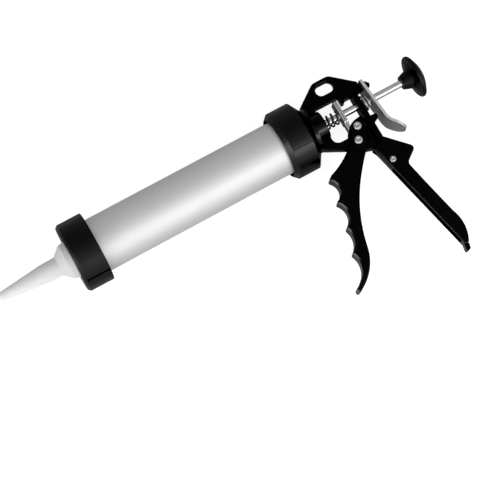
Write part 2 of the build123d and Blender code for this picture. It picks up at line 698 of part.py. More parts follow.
# Trigger: a forked head over the frame's lug, and a finger grip with four scallops
with BuildPart() as trigger:
    with BuildSketch(Plane.XY) as trigger_outline:
        with BuildLine():
            ThreePointArc(*[from_pivot(*point) for point in TRIGGER_NECK])
            Line(from_pivot(*TRIGGER_NECK[-1]), from_pivot(*GRIP_TIPS[0]))
            for above, hollow, below in zip(GRIP_TIPS, GRIP_HOLLOWS, GRIP_TIPS[1:]):
                ThreePointArc(from_pivot(*above), from_pivot(*hollow), from_pivot(*below))
            heel = ThreePointArc(*[from_pivot(*point) for point in (GRIP_TIPS[-1], *GRIP_HEEL)])
            TangentArc(heel @ 1, from_pivot(*TRIGGER_TAIL[0]), tangent=heel % 1)
            Line(from_pivot(*TRIGGER_TAIL[0]), from_pivot(*TRIGGER_TAIL[1]))
            calf = ThreePointArc(*[from_pivot(*point) for point in (TRIGGER_TAIL[1], *TRIGGER_BACK[:2])])
            thigh = TangentArc(calf @ 1, from_pivot(*TRIGGER_BACK[2]), tangent=calf % 1)
            crotch = TangentArc(thigh @ 1, from_pivot(*TRIGGER_BACK[3]), tangent=thigh % 1)
            hip = Line(crotch @ 1, crotch @ 1 + (crotch % 1) * HIP_LENGTH)
            Polyline(hip @ 1, *[from_pivot(*point) for point in (CHEEK_REAR, HEAD_CORNER, HEAD_TOP)])
            ThreePointArc(*[from_pivot(*point) for point in (HEAD_TOP, *HEAD_FRONT)])
            Line(from_pivot(*HEAD_FRONT[-1]), from_pivot(*TRIGGER_NECK[0]))
        make_face()
        for place in (*GRIP_TIPS, *TRIGGER_TAIL, HEAD_CORNER):
            corner = Vector(*from_pivot(*place))
            fillet(trigger_outline.vertices().sort_by_distance(corner)[0], TRIGGER_ROUND)
    extrude(amount=TRIGGER_WIDTH / 2, both=True)
    chamfer(trigger.faces().filter_by(Axis.Z).edges(), TRIGGER_BEVEL)
    with BuildSketch(Plane.XY):
        with Locations(PIVOT):
            Circle(TRIGGER_FORK_RADIUS)
            Rectangle(2 * TRIGGER_FORK_RADIUS, 2 * TRIGGER_FORK_RADIUS, align=(Align.CENTER, Align.MIN))
    extrude(amount=FORK_HALF, both=True, mode=Mode.SUBTRACT)
    with BuildSketch(Plane.XY):
        with Locations(PIVOT):
            Circle(PIVOT_RADIUS + RUN_GAP)
        with Locations(DRIVE_PIN):
            Circle(DRIVE_PIN_RADIUS + FIT_GAP)
    extrude(amount=TRIGGER_WIDTH, both=True, mode=Mode.SUBTRACT)
keep(trigger, "trigger")

# Pin and roller in the trigger's head, behind the grip plates
drive_pin = rivet(DRIVE_PIN, DRIVE_PIN_RADIUS, TRIGGER_WIDTH, PIN_HEAD_RADIUS, PIN_HEAD_HEIGHT)
keep(drive_pin, "drive_pin")
with BuildPart() as roller:
    with BuildSketch(Plane.XY):
        with Locations(DRIVE_PIN):
            Circle(ROLLER_RADIUS)
            Circle(DRIVE_PIN_RADIUS + RUN_GAP, mode=Mode.SUBTRACT)
    extrude(amount=FORK_HALF - FREE_GAP, both=True)
keep(roller, "drive_roller")


def grip_plate(front):
    """A steel plate round the rod, with a foot that reaches down between the trigger's cheeks."""
    with BuildPart() as piece:
        with BuildSketch(Plane.YZ.offset(front)) as outline:
            with Locations(((PLATE_TOP + PLATE_SHOULDER) / 2, 0)):
                Rectangle(PLATE_TOP - PLATE_SHOULDER, PLATE_WIDTH)
            fillet(outline.vertices().group_by(Axis.Y)[-1], PLATE_CORNER)
            with Locations(((PLATE_FOOT + PLATE_SHOULDER) / 2, 0)):
                Rectangle(PLATE_SHOULDER - PLATE_FOOT, 2 * (FORK_HALF - TONGUE_SIDE_GAP))
            Circle(ROD_RADIUS + LOOSE_GAP, mode=Mode.SUBTRACT)
        extrude(amount=PLATE_THICKNESS)
    return piece


front_plate = grip_plate(PLATES_FRONT)
keep(front_plate, "grip_plate_front")
rear_plate = grip_plate(PLATES_REAR - PLATE_THICKNESS)
keep(rear_plate, "grip_plate_rear")

# Springs round the rod
drive_spring = coil(BOSS_REAR, PLATES_FRONT, DRIVE_COIL_RADIUS, DRIVE_WIRE, DRIVE_TURNS, DRIVE_HAND)
keep(drive_spring, "drive_spring")
lean_back = (RELEASE_COIL_RADIUS + RELEASE_WIRE / 2) * tan(radians(LEVER_TILT))
release_front, release_rear = HUB_FACE + POST_REAR, LEVER_FRONT - lean_back
release_spring = coil(
    release_front, release_rear, RELEASE_COIL_RADIUS, RELEASE_WIRE, RELEASE_TURNS, RELEASE_HAND
)
keep(release_spring, "release_spring")


def past_bend(turn, along, across):
    """A point of the lever after its bend has turned some degrees, back through its thickness."""
    heading = radians(LEVER_TILT + turn)
    inset = across - LEVER_THICKNESS / 2 - LEVER_BEND_RADIUS
    centre = from_hinge(LEVER_LENGTH, LEVER_THICKNESS / 2 + LEVER_BEND_RADIUS)
    x = centre[0] + along * sin(heading) + inset * cos(heading)
    y = centre[1] - along * cos(heading) + inset * sin(heading)
    return (x, y)


# Release lever: a bent plate hooked over the frame's tongue, with a thumb tab below
half = LEVER_THICKNESS / 2
blade = Plane((*HINGE, 0), x_dir=(0, 0, 1), z_dir=(cos(radians(LEVER_TILT)), sin(radians(LEVER_TILT)), 0))
with BuildPart() as lever:
    with BuildSketch(Plane.XY):
        with BuildLine():
            Line(from_hinge(-LEVER_TOP, -half), from_hinge(LEVER_LENGTH, -half))
            ThreePointArc(
                from_hinge(LEVER_LENGTH, -half),
                past_bend(LEVER_TAB_TURN / 2, 0, -half),
                past_bend(LEVER_TAB_TURN, 0, -half),
            )
            Polyline(
                past_bend(LEVER_TAB_TURN, 0, -half),
                past_bend(LEVER_TAB_TURN, LEVER_TAB_LENGTH, -half),
                past_bend(LEVER_TAB_TURN, LEVER_TAB_LENGTH, half),
                past_bend(LEVER_TAB_TURN, 0, half),
            )
            ThreePointArc(
                past_bend(LEVER_TAB_TURN, 0, half),
                past_bend(LEVER_TAB_TURN / 2, 0, half),
                from_hinge(LEVER_LENGTH, half),
            )
            Polyline(
                from_hinge(LEVER_LENGTH, half),
                from_hinge(-LEVER_TOP, half),
                from_hinge(-LEVER_TOP, -half),
            )
        make_face()
    extrude(amount=LEVER_WIDTH / 2, both=True)
    corners = lever.edges().filter_by(lambda e: abs(e.length - LEVER_THICKNESS) < FIT_GAP).sort_by(Axis.Y)
    fillet(corners[:2], LEVER_TAB_ROUND)
    fillet(corners[-2:], LEVER_CORNER)
    slot_half = TONGUE_WIDTH / 2 + FREE_GAP
    with BuildSketch(blade):
        Rectangle(2 * slot_half, LEVER_SLOT_HEIGHT + half, align=(Align.CENTER, Align.MIN))
    extrude(amount=LEVER_THICKNESS, both=True, mode=Mode.SUBTRACT)
    with BuildSketch(Plane.XY):
        with Locations(HINGE):
            Circle(half)
    extrude(amount=slot_half, both=True)
    with BuildSketch(blade):
        with Locations((0, HINGE[1] / cos(radians(LEVER_TILT)))):
            Circle(ROD_RADIUS + LOOSE_GAP)
    extrude(amount=LEVER_THICKNESS, both=True, mode=Mode.SUBTRACT)
keep(lever, "release_lever")

# Push rod: a round bar, turned down to a stud for the piston
with BuildPart() as rod:
    with BuildSketch(Plane.YZ.offset(ROD_FRONT)):
        Circle(ROD_RADIUS)
    extrude(amount=ROD_REAR - ROD_FRONT)
    with BuildSketch(Plane.YZ.offset(PISTON_FACE + STUD_TAIL)):
        Circle(STUD_RADIUS)
    extrude(amount=ROD_FRONT - PISTON_FACE - STUD_TAIL)
keep(rod, "push_rod")

# Piston with a seal in its rim, a steel plate behind it and a nut in front
piston_radius = BORE_RADIUS - PISTON_GAP
seal_front = PISTON_FACE + (PISTON_LENGTH - SEAL_WIDTH) / 2
stud_hole = STUD_RADIUS + FIT_GAP
piston = turned([
    (NUT_SEAT, stud_hole),
    (NUT_SEAT, NUT_POCKET_RADIUS),
    (PISTON_FACE, NUT_POCKET_RADIUS),
    (PISTON_FACE, piston_radius - PISTON_EDGE),
    (PISTON_FACE + PISTON_EDGE, piston_radius),
    (seal_front, piston_radius),
    (seal_front, piston_radius - SEAL_DEPTH),
    (seal_front + SEAL_WIDTH, piston_radius - SEAL_DEPTH),
    (seal_front + SEAL_WIDTH, piston_radius),
    (PISTON_REAR, piston_radius),
    (PISTON_REAR, stud_hole),
])
keep(piston, "piston")
piston_seal = washer(seal_front, SEAL_WIDTH, BORE_RADIUS - SEAL_GAP, piston_radius - SEAL_DEPTH)
keep(piston_seal, "piston_seal")
backing = washer(PISTON_REAR, BACKING_THICKNESS, BACKING_RADIUS, stud_hole)
keep(backing, "piston_backing_plate")
piston_nut = hex_nut(NUT_SEAT - NUT_THICKNESS, NUT_THICKNESS, NUT_FLATS, stud_hole, NUT_EDGE)
keep(piston_nut, "piston_nut")

# Pull knob: a mushroom on the rod's rear end
socket = ROD_RADIUS + FIT_GAP
with BuildPart() as knob:
    with BuildSketch(Plane.XY):
        with BuildLine():
            rim = KNOB_FACE + KNOB_RIM_SETBACK
            throat = KNOB_FACE + KNOB_NECK_LENGTH
            apex = rim + KNOB_DOME_HEIGHT
            under = (rim - KNOB_RIM_ROUND, KNOB_RIM_RADIUS - KNOB_RIM_ROUND)
            over = (rim + KNOB_RIM_ROUND, KNOB_RIM_RADIUS - KNOB_RIM_ROUND)
            Polyline(
                (apex, 0),
                (ROD_REAR, 0),
                (ROD_REAR, socket),
                (KNOB_FACE, socket),
                (KNOB_FACE, KNOB_NECK_RADIUS),
                (throat, KNOB_THROAT_RADIUS),
            )
            ThreePointArc(
                (throat, KNOB_THROAT_RADIUS),
                ((throat + under[0]) / 2 + KNOB_UNDERCUT, (KNOB_THROAT_RADIUS + under[1]) / 2),
                under,
            )
            ThreePointArc(under, (rim, KNOB_RIM_RADIUS), over)
            TangentArc((apex, 0), over, tangent=(0, 1))
        make_face()
    revolve(axis=Axis.X)
keep(knob, "pull_knob")
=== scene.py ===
"""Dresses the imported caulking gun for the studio: finishes, rounded edges, wound springs, light and camera.

Everything is in metres, in the part's own frame: the origin at the nozzle's outlet, +X back along the
barrel, +Y from the handle to the hanging slot, and +Z up out of the side that the gun doesn't lie on.
"""

from __future__ import annotations

import json
import logging
import math
from dataclasses import dataclass, field
from enum import Enum

import bmesh
import bpy
from mathutils import Matrix, Vector

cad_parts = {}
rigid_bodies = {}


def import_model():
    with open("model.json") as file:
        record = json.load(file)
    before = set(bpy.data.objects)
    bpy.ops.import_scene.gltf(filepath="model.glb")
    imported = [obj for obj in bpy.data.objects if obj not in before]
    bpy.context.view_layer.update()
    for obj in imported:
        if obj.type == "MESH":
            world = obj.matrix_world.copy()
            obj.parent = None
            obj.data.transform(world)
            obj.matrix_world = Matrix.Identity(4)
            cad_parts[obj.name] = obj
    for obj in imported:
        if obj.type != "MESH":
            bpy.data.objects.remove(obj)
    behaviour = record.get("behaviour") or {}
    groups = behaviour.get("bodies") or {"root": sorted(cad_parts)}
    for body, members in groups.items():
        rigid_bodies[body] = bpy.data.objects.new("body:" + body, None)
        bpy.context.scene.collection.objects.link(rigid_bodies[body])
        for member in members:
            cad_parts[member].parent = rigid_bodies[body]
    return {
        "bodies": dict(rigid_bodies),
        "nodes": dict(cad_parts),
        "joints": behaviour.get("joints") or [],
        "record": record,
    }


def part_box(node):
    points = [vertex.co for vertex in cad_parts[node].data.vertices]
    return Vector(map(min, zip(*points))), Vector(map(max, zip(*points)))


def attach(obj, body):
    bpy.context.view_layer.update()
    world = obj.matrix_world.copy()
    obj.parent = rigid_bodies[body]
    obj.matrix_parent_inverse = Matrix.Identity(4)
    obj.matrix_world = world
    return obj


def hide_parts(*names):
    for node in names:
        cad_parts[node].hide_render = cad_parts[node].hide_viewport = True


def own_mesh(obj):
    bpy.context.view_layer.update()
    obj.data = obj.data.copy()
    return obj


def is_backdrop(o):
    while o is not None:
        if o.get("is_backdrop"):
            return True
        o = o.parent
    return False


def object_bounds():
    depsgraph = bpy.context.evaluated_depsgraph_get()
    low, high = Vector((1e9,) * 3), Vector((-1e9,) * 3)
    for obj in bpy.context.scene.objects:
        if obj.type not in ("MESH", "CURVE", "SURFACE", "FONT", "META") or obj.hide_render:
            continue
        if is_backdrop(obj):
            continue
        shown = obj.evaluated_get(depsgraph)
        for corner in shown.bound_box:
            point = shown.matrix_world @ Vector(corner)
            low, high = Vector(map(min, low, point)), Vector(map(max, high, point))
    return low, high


LOG = logging.getLogger("caulking_gun")
MM = 0.001
WHITE = "#FFFFFF"
# The sRGB curve: a straight foot, and a power above it.
FOOT_END, FOOT_SLOPE, CURVE_OFFSET, CURVE_POWER = 0.04045, 12.92, 0.055, 2.4
# A colour Mix node's sockets go by index, because each data type has sockets of the same names.
MIX_SHARE, MIX_FIRST, MIX_SECOND, MIX_RESULT = 0, 6, 7, 2


class Body(str, Enum):
    """The rigid bodies that pieces ride on."""

    GUN = "gun_body"
    TRIGGER = "trigger"
    PLATES = "grip_plates"
    LEVER = "release_lever"
    ROD = "push_rod"
    NOZZLE = "nozzle"
    FRONT_CAP = "front_cap"


class Slot(str, Enum):
    """The record's material slots."""

    BARREL = "satin_aluminium"
    CAP = "black_cap"
    KNOB = "black_knob"
    NOZZLE = "milky_nozzle"
    SEAL = "seal_rubber"
    BUSH = "bush_brass"
    PAINT = "black_paint"
    STEEL = "zinc_plated_steel"
    PISTON = "piston_plastic"


def linear(hex_colour: str) -> tuple[float, float, float, float]:
    """Turn an sRGB hex colour to linear.

    Args:
        hex_colour: A colour such as "#C8CACC".

    Returns:
        The linear red, green, blue and an alpha of 1.
    """
    parts = [int(hex_colour[i : i + 2], 16) / 255 for i in (1, 3, 5)]
    red, green, blue = (
        part / FOOT_SLOPE if part <= FOOT_END else ((part + CURVE_OFFSET) / (1 + CURVE_OFFSET)) ** CURVE_POWER
        for part in parts
    )
    return (red, green, blue, 1.0)


def per_mm(size: float) -> float:
    """The texture scale that makes a pattern repeat about once in a size in millimetres."""
    return 1 / (size * MM)


def add_node(
    tree: bpy.types.NodeTree,
    kind: str,
    settings: dict[str, object] | None = None,
    values: dict[str | int, object] | None = None,
    links: dict[str | int, bpy.types.NodeSocket] | None = None,
) -> bpy.types.Node:
    """Add one node with its settings, socket values and incoming links.

    Args:
        tree: The node tree that gets the node.
        kind: The node's type name.
        settings: Attributes of the node itself.
        values: Default values of its input sockets.
        links: Output sockets of other nodes that feed its inputs.

    Returns:
        The new node.
    """
    node = tree.nodes.new(kind)
    for name, value in (settings or {}).items():
        setattr(node, name, value)
    for name, value in (values or {}).items():
        node.inputs[name].default_value = value
    for name, socket in (links or {}).items():
        tree.links.new(socket, node.inputs[name])
    return node


@dataclass(frozen=True)
class Finish:
    """A surface finish: two close tones mottled together, lightened along edges as a painted highlight, with
    its own gloss and relief.

    Attributes:
        name: The material's name.
        tone: The main colour.
        second: The colour that it drifts to.
        edge_highlight_tone: The lighter colour painted along edges as a highlight.
        roughness: The gloss, from mirror at 0 to chalk at 1.
        spread: How far the roughness drifts each way.
        metallic: 1 for bare metal and plating, 0 for paint, plastic and rubber.
        drift_mm: The size of the mottling.
        grain_mm: The size of the fine relief.
        relief_mm: The height of the fine relief.
        stretch: How many times longer the grain runs along X, Y and Z.
        edge_mm: How far from an edge the painted highlight reaches.
        ior: The refractive index, or None for a metal.
        specular: The share of that index's reflection, from 0 to 0.5 for all of it.
        scatter_mm: How far light travels inside, or 0 for an opaque surface.
        bloom: The share of a waxy sheen that lightens grazing edges.
        drift_detail: How many finer layers the mottling has.
        drift_breakup: How strong each finer layer of the mottling is.
        grain_detail: How many finer layers the relief has.
        grain_breakup: How strong each finer layer of the relief is.
        grain_span: The low and high of the relief that the roughness drifts over.
        edge_samples: How many rays look for an edge.
        edge_span: The cosines of the turn at which the painted edge highlight starts and is full.
    """

    name: str
    tone: str
    second: str
    edge_highlight_tone: str
    roughness: float
    spread: float
    metallic: float = 0.0
    drift_mm: float = 12.0
    grain_mm: float = 1.0
    relief_mm: float = 0.02
    stretch: tuple[float, float, float] = (1.0, 1.0, 1.0)
    edge_mm: float = 0.5
    ior: float | None = None
    specular: float = 0.5
    scatter_mm: float = 0.0
    bloom: float = 0.0
    drift_detail: float = 3.0
    drift_breakup: float = 0.55
    grain_detail: float = 2.0
    grain_breakup: float = 0.6
    grain_span: tuple[float, float] = (0.3, 0.7)
    edge_samples: int = 4
    edge_span: tuple[float, float] = (0.97, 0.75)

    def build(self) -> bpy.types.Material:
        """Make the material.

        Returns:
            A node material on Object coordinates.
        """
        material = bpy.data.materials.new(self.name)
        material.use_nodes = True
        tree = material.node_tree
        shader = tree.nodes["Principled BSDF"]
        place = add_node(tree, "ShaderNodeTexCoord")
        along = add_node(
            tree,
            "ShaderNodeMapping",
            values={"Scale": tuple(1 / times for times in self.stretch)},
            links={"Vector": place.outputs["Object"]},
        )
        drift = add_node(
            tree,
            "ShaderNodeTexNoise",
            values={
                "Scale": per_mm(self.drift_mm),
                "Detail": self.drift_detail,
                "Roughness": self.drift_breakup,
            },
            links={"Vector": place.outputs["Object"]},
        )
        grain = add_node(
            tree,
            "ShaderNodeTexNoise",
            values={
                "Scale": per_mm(self.grain_mm),
                "Detail": self.grain_detail,
                "Roughness": self.grain_breakup,
            },
            links={"Vector": along.outputs["Vector"]},
        )
        mottle = add_node(
            tree,
            "ShaderNodeMix",
            settings={"data_type": "RGBA"},
            values={MIX_FIRST: linear(self.tone), MIX_SECOND: linear(self.second)},
            links={MIX_SHARE: drift.outputs["Fac"]},
        )
        # Lighten the colour near edges: a painted highlight along every edge, broken up in patches.
        colour = add_node(
            tree,
            "ShaderNodeMix",
            settings={"data_type": "RGBA"},
            values={MIX_SECOND: linear(self.edge_highlight_tone)},
            links={MIX_SHARE: self.painted_edge_highlight(tree, drift), MIX_FIRST: mottle.outputs[MIX_RESULT]},
        )
        gloss = add_node(
            tree,
            "ShaderNodeMapRange",
            values={
                "From Min": self.grain_span[0],
                "From Max": self.grain_span[1],
                "To Min": self.roughness - self.spread,
                "To Max": self.roughness + self.spread,
            },
            links={"Value": grain.outputs["Fac"]},
        )
        bump = add_node(
            tree,
            "ShaderNodeBump",
            values={"Strength": 1.0, "Distance": self.relief_mm * MM},
            links={"Height": grain.outputs["Fac"]},
        )
        tree.links.new(colour.outputs[MIX_RESULT], shader.inputs["Base Color"])
        tree.links.new(gloss.outputs["Result"], shader.inputs["Roughness"])
        tree.links.new(bump.outputs["Normal"], shader.inputs["Normal"])
        shader.inputs["Metallic"].default_value = self.metallic
        shader.inputs["Specular IOR Level"].default_value = self.specular
        if self.ior is not None:
            shader.inputs["IOR"].default_value = self.ior
        if self.scatter_mm > 0:
            shader.inputs["Subsurface Weight"].default_value = 1.0
            shader.inputs["Subsurface Radius"].default_value = (1.0, 1.0, 1.0)
            shader.inputs["Subsurface Scale"].default_value = self.scatter_mm * MM
        shader.inputs["Sheen Weight"].default_value = self.bloom
        return material

    def painted_edge_highlight(self, tree: bpy.types.NodeTree, drift: bpy.types.Node) -> bpy.types.NodeSocket:
        """Find where the edge highlight is painted: near a corner, in patches.

        Args:
            tree: The material's node tree.
            drift: The mottling that breaks the edge up.

        Returns:
            A socket that is 0 on open surfaces and up to 1 along edges.
        """
        rounded = add_node(
            tree,
            "ShaderNodeBevel",
            settings={"samples": self.edge_samples},
            values={"Radius": self.edge_mm * MM},
        )
        flat = add_node(tree, "ShaderNodeNewGeometry")
        same = add_node(
            tree,
            "ShaderNodeVectorMath",
            settings={"operation": "DOT_PRODUCT"},
            links={0: rounded.outputs["Normal"], 1: flat.outputs["Normal"]},
        )
        near = add_node(
            tree,
            "ShaderNodeMapRange",
            values={
                "From Min": self.edge_span[0],
                "From Max": self.edge_span[1],
                "To Min": 0.0,
                "To Max": 1.0,
            },
            links={"Value": same.outputs["Value"]},
        )
        patchy = add_node(
            tree,
            "ShaderNodeMath",
            settings={"operation": "MULTIPLY"},
            links={0: near.outputs["Result"], 1: drift.outputs["Fac"]},
        )
        return patchy.outputs["Value"]


class Finishes(Enum):
    """Every finish on the gun."""

    # Drawn aluminium tube, fine blasted and clear anodised: a soft broad sheen with faint draw lines.
    # The real grain is about 0.1 mm and is drawn coarser so that it shows.
    ANODISED_ALUMINIUM = Finish(
        "anodised_aluminium", "#E3E3E3", "#DEDEDE", "#EAEAEA",
        roughness=0.64, spread=0.03, metallic=1.0, drift_mm=16.0, grain_mm=0.9, relief_mm=0.003,
        stretch=(40.0, 1.0, 1.0),
    )
    # Injection-moulded ABS with a fine spark texture: dull black with a wide weak sheen.
    MOULDED_ABS = Finish(
        "moulded_black_abs", "#0C0C0C", "#090909", "#1C1C1D",
        roughness=0.36, spread=0.04, drift_mm=18.0, grain_mm=0.7, relief_mm=0.008, ior=1.5,
        specular=0.35,
    )
    # Satin-mould ABS of the knob: nearly the same black, with smaller grain and less gloss.
    KNOB_ABS = Finish(
        "satin_black_abs", "#0F0F0F", "#0B0B0B", "#1A1A1B",
        roughness=0.42, spread=0.04, drift_mm=14.0, grain_mm=0.6, relief_mm=0.006, ior=1.5,
        specular=0.3,
    )
    # Natural polyethylene, moulded: milky, with light spread deep inside and a waxy bloom on grazing edges.
    NATURAL_POLYETHYLENE = Finish(
        "natural_polyethylene", "#FDFDFD", "#FAFAFA", "#FFFFFF",
        roughness=0.45, spread=0.04, drift_mm=20.0, grain_mm=1.2, relief_mm=0.006, ior=1.51,
        specular=0.35, scatter_mm=7.0, bloom=0.8,
    )
    # Stoved black enamel on a die casting: deep black with slight orange peel, with a painted highlight along
    # its edges.
    BLACK_ENAMEL = Finish(
        "stoved_black_enamel", "#040404", "#020202", "#0E0E0F",
        roughness=0.25, spread=0.03, drift_mm=22.0, grain_mm=1.6, relief_mm=0.006, ior=1.5,
        specular=0.3,
    )
    # Bright zinc plating on steel: clouded silver with a soft mirror.
    BRIGHT_ZINC = Finish(
        "bright_zinc_plate", "#D4D5D6", "#C6C7C9", "#E2E3E4",
        roughness=0.22, spread=0.04, metallic=1.0, drift_mm=5.0, grain_mm=1.1, relief_mm=0.0012,
        edge_mm=0.4,
    )
    # Zinc-plated rivet heads, peened: rounded silver with a soft highlight.
    PEENED_ZINC = Finish(
        "peened_zinc_rivet", "#BEBFC0", "#B0B1B2", "#CFD0D1",
        roughness=0.42, spread=0.04, metallic=1.0, drift_mm=4.0, grain_mm=1.6, relief_mm=0.001,
        edge_mm=0.3,
    )
    # Zinc plating over rolled sheet with rolling grain, duller than on turned steel; its darker tone is
    # painted shade for the faces that look along the barrel.
    SHADED_DULL_ZINC = Finish(
        "dull_zinc_painted_shade", "#C4C5C6", "#B8B9BA", "#D2D3D4",
        roughness=0.4, spread=0.05, metallic=1.0, drift_mm=3.0, grain_mm=0.5, relief_mm=0.004,
        stretch=(1.0, 12.0, 1.0), edge_mm=0.4,
    )
    # Zinc plating over the lever's sheared edges: the sheet's grain in a paler silver.
    CUT_EDGE_ZINC = Finish(
        "cut_edge_zinc_plate", "#E8E9EA", "#DEDFE0", "#F2F2F3",
        roughness=0.36, spread=0.05, metallic=1.0, drift_mm=3.0, grain_mm=0.5, relief_mm=0.004,
        stretch=(1.0, 12.0, 1.0), edge_mm=0.4,
    )
    # Oil-tempered spring wire: grey steel with a narrow bright line.
    SPRING_WIRE = Finish(
        "oil_tempered_wire", "#6C6D6F", "#5E5F61", "#7E7F82",
        roughness=0.46, spread=0.04, metallic=1.0, drift_mm=2.5, grain_mm=0.6, relief_mm=0.004,
        edge_mm=0.2,
    )
    # Moulded nitrile rubber: deep matt black.
    NITRILE_RUBBER = Finish(
        "nitrile_rubber", "#1B1B1B", "#141414", "#222222",
        roughness=0.72, spread=0.06, drift_mm=8.0, grain_mm=0.6, relief_mm=0.03, ior=1.52,
    )
    # Turned brass bush: yellow metal with fine tool marks.
    TURNED_BRASS = Finish(
        "turned_brass", "#C9A25A", "#B98F49", "#DDB970",
        roughness=0.3, spread=0.06, metallic=1.0, drift_mm=6.0, grain_mm=0.7, relief_mm=0.008,
    )
    # Moulded nylon piston: grey and waxy.
    MOULDED_NYLON = Finish(
        "moulded_grey_nylon", "#8B8D8F", "#7E8082", "#9A9C9E",
        roughness=0.45, spread=0.05, drift_mm=12.0, grain_mm=0.9, relief_mm=0.015, ior=1.53,
    )


@dataclass(frozen=True)
class Dress:
    """How one CAD node is finished.

    Attributes:
        node: The node's name.
        body: The body that it rides on.
        slot: Its slot in the record.
        finish: Its finish.
        edge_mm: The radius that its sharp edges get, or 0 to leave them as they are.
        sharp_deg: The least angle of an edge that is rounded or left crisp.
        shaded_face_finish: A darker second finish, painted shade for faces that look along the barrel.
    """

    node: str
    body: Body
    slot: Slot
    finish: Finishes
    edge_mm: float = 0.0
    sharp_deg: float = 32.0
    shaded_face_finish: Finishes | None = None


@dataclass
class Workshop:
    """Holds the loaded frame and the finished materials, and puts pieces on bodies.

    Attributes:
        frame: The loaded frame.
        weld_mm: How close loose corners are when they are one.
        flat_deg: The most that triangles of one flat face turn from each other.
        edge_steps: How many facets a rounded edge has.
        shaded_faces_along: The least share of X in the normal of a face that looks along the barrel and gets
            the painted shade.
        materials: The finishes made so far.
    """

    frame: dict
    weld_mm: float = 0.002
    flat_deg: float = 0.5
    edge_steps: int = 2
    shaded_faces_along: float = 0.7
    materials: dict[Finishes, bpy.types.Material] = field(default_factory=dict)

    def finish(self, kind: Finishes) -> bpy.types.Material:
        """The material of a finish, made on first use."""
        if kind not in self.materials:
            self.materials[kind] = kind.value.build()
        return self.materials[kind]

    def welded(self, node: str, tidy: bool) -> bpy.types.Mesh:
        """Copy a CAD node's mesh and weld its loose triangles.

        Args:
            node: The node's name.
            tidy: Whether triangles that lie flat together become one face.

        Returns:
            The new mesh.
        """
        mesh = self.frame["nodes"][node].data.copy()
        mesh.name = f"{node}_finished"
        work = bmesh.new()
        work.from_mesh(mesh)
        bmesh.ops.remove_doubles(work, verts=work.verts, dist=self.weld_mm * MM)
        bmesh.ops.dissolve_degenerate(work, edges=work.edges, dist=self.weld_mm * MM)
        if tidy:
            bmesh.ops.dissolve_limit(
                work, angle_limit=math.radians(self.flat_deg), verts=work.verts, edges=work.edges
            )
        work.to_mesh(mesh)
        work.free()
        if mesh.has_custom_normals:
            mesh.attributes.remove(mesh.attributes["custom_normal"])
        return mesh

    def dress(self, plan: Dress) -> None:
        """Stand a finished copy of a CAD node in its place, with soft edges.

        Args:
            plan: How the node is finished.
        """
        rounds = plan.edge_mm > 0
        mesh = self.welded(plan.node, tidy=rounds)
        mesh.materials.clear()
        mesh.materials.append(self.finish(plan.finish))
        mesh.shade_smooth()
        if not rounds:
            mesh.set_sharp_from_angle(angle=math.radians(plan.sharp_deg))
        piece = bpy.data.objects.new(mesh.name, mesh)
        bpy.context.scene.collection.objects.link(piece)
        if rounds:
            bevel = piece.modifiers.new("edge_round", "BEVEL")
            bevel.width = plan.edge_mm * MM
            bevel.segments = self.edge_steps
            bevel.limit_method = "ANGLE"
            bevel.angle_limit = math.radians(plan.sharp_deg)
            bevel.use_clamp_overlap = True
        weighted = piece.modifiers.new("flat_faces", "WEIGHTED_NORMAL")
        weighted.keep_sharp = True
        baked = bpy.data.meshes.new_from_object(piece.evaluated_get(bpy.context.evaluated_depsgraph_get()))
        piece.modifiers.clear()
        piece.data = baked
        if plan.shaded_face_finish is not None:
            self.paint_shaded_faces(baked, plan.shaded_face_finish)
        self.place(piece, plan.body, plan.slot)
        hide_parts(plan.node)

    def paint_shaded_faces(self, mesh: bpy.types.Mesh, kind: Finishes) -> None:
        """Paint shade on the faces that look along the barrel: give them a darker finish of their own."""
        mesh.materials.append(self.finish(kind))
        for face in mesh.polygons:
            face.material_index = int(abs(face.normal.x) > self.shaded_faces_along)

    def place(self, piece: bpy.types.Object, body: Body, slot: Slot) -> None:
        """Put a new piece on its body and log its faces."""
        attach(piece, body.value)
        LOG.info("%s: %d faces on %s", piece.name, len(piece.data.polygons), body.value)


